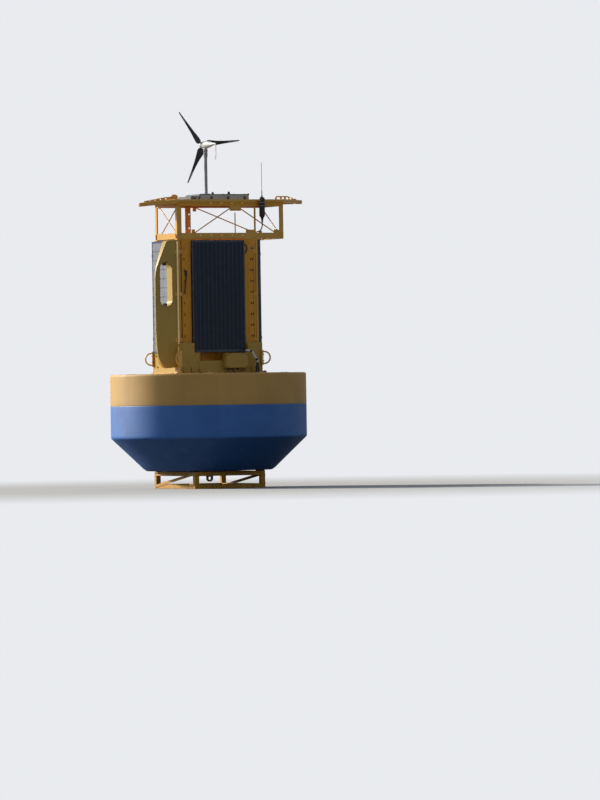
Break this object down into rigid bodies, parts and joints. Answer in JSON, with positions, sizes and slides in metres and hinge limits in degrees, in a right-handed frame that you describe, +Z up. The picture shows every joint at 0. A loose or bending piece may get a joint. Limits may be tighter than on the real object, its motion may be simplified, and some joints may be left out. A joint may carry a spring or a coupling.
{
  "type": "moored surface buoy on a shore stand",
  "caption": "Round foam-hulled surface buoy on a low stand, with a braced tower, solar panels, a wind vane, a roof with tapered noses, an antenna and a small turning wind turbine.",
  "frame": {"origin": "on the hull's axis at floor level, in the middle of the underside of the stand's centre crosser", "axes": "+Z up along the hull's axis, +X towards the longer roof nose, -Y towards the face with the junction box"},
  "size_m": [2.89, 2.7796, 5.334],
  "materials": {
    "yellow_steel": "brushed-on yellow paint, worn",
    "rubber_pad": "plain rubber pads",
    "bare_steel": "bare steel with a little rust",
    "hull_blue": "blue elastomer skin over foam",
    "hull_yellow": "yellow elastomer skin over foam",
    "yellow_aluminium": "golden yellow enamel on aluminium",
    "white_pvc": "white plastic pipe",
    "dark_fitting": "dark fittings",
    "panel_frame": "anodised frames",
    "solar_laminate": "dark cells behind glass",
    "cable_rubber": "black cable jacket",
    "grey_tray": "grey tray",
    "antenna_black": "black moulded antenna",
    "mast_grey": "dark grey pipe",
    "turbine_white": "white powder coat",
    "blade_black": "black fibre-filled plastic"
  },
  "bodies": {
    "buoy": {"stand_sleepers": "yellow_steel", "stand_crossers": "yellow_steel", "stand_legs": "yellow_steel", "stand_bearers": "yellow_steel", "stand_ties": "yellow_steel", "stand_braces": "yellow_steel", "stand_pads": "rubber_pad", "mooring_plate": "bare_steel", "mooring_lug": "bare_steel", "hull_lower": "hull_blue", "hull_upper": "hull_yellow", "base_flange": "yellow_aluminium", "base_corner_plates": "yellow_aluminium", "base_skirts": "yellow_aluminium", "lifting_bails": "yellow_aluminium", "junction_box": "yellow_aluminium", "vent_pipe": "white_pvc", "vent_fitting": "dark_fitting", "leg_feet": "yellow_aluminium", "tower_legs": "yellow_aluminium", "leg_caps": "yellow_aluminium", "pipe_clamps": "yellow_aluminium", "vane_clamps": "yellow_aluminium", "cross_rails": "yellow_aluminium", "perforated_strips": "yellow_aluminium", "inner_housing": "yellow_aluminium", "housing_latch": "dark_fitting", "vane": "yellow_aluminium", "panel_frames": "panel_frame", "panel_laminates": "solar_laminate", "panel_cable": "cable_rubber", "halo_lower_beams": "yellow_aluminium", "halo_lower_crossbeams": "yellow_aluminium", "halo_posts": "yellow_aluminium", "halo_upper_beams": "yellow_aluminium", "halo_upper_crossbeams": "yellow_aluminium", "halo_braces": "yellow_aluminium", "halo_gussets": "yellow_aluminium", "roof_deck": "yellow_aluminium", "roof_rims": "yellow_aluminium", "roof_tips": "yellow_aluminium", "roof_fins": "yellow_aluminium", "roof_tray": "grey_tray", "roof_stubs": "yellow_aluminium", "antenna_bracket": "dark_fitting", "antenna_base": "antenna_black", "antenna_whip": "antenna_black", "antenna_cable": "cable_rubber", "turbine_mast": "mast_grey"},
    "turbine_head": {"turbine_nacelle": "turbine_white", "turbine_fin": "turbine_white"},
    "rotor": {"rotor_hub": "turbine_white", "rotor_blades": "blade_black"}
  },
  "joints": [
    {"name": "turbine_yaw", "type": "hinge", "parent": "buoy", "child": "turbine_head", "pos_m": [0.015, 0, 4.756], "axis": [0, 0, 1], "continuous": true},
    {"name": "rotor_spin", "type": "hinge", "parent": "turbine_head", "child": "rotor", "pos_m": [0.015, 0.118, 4.86], "axis": [0, 1, 0], "continuous": true}
  ]
}
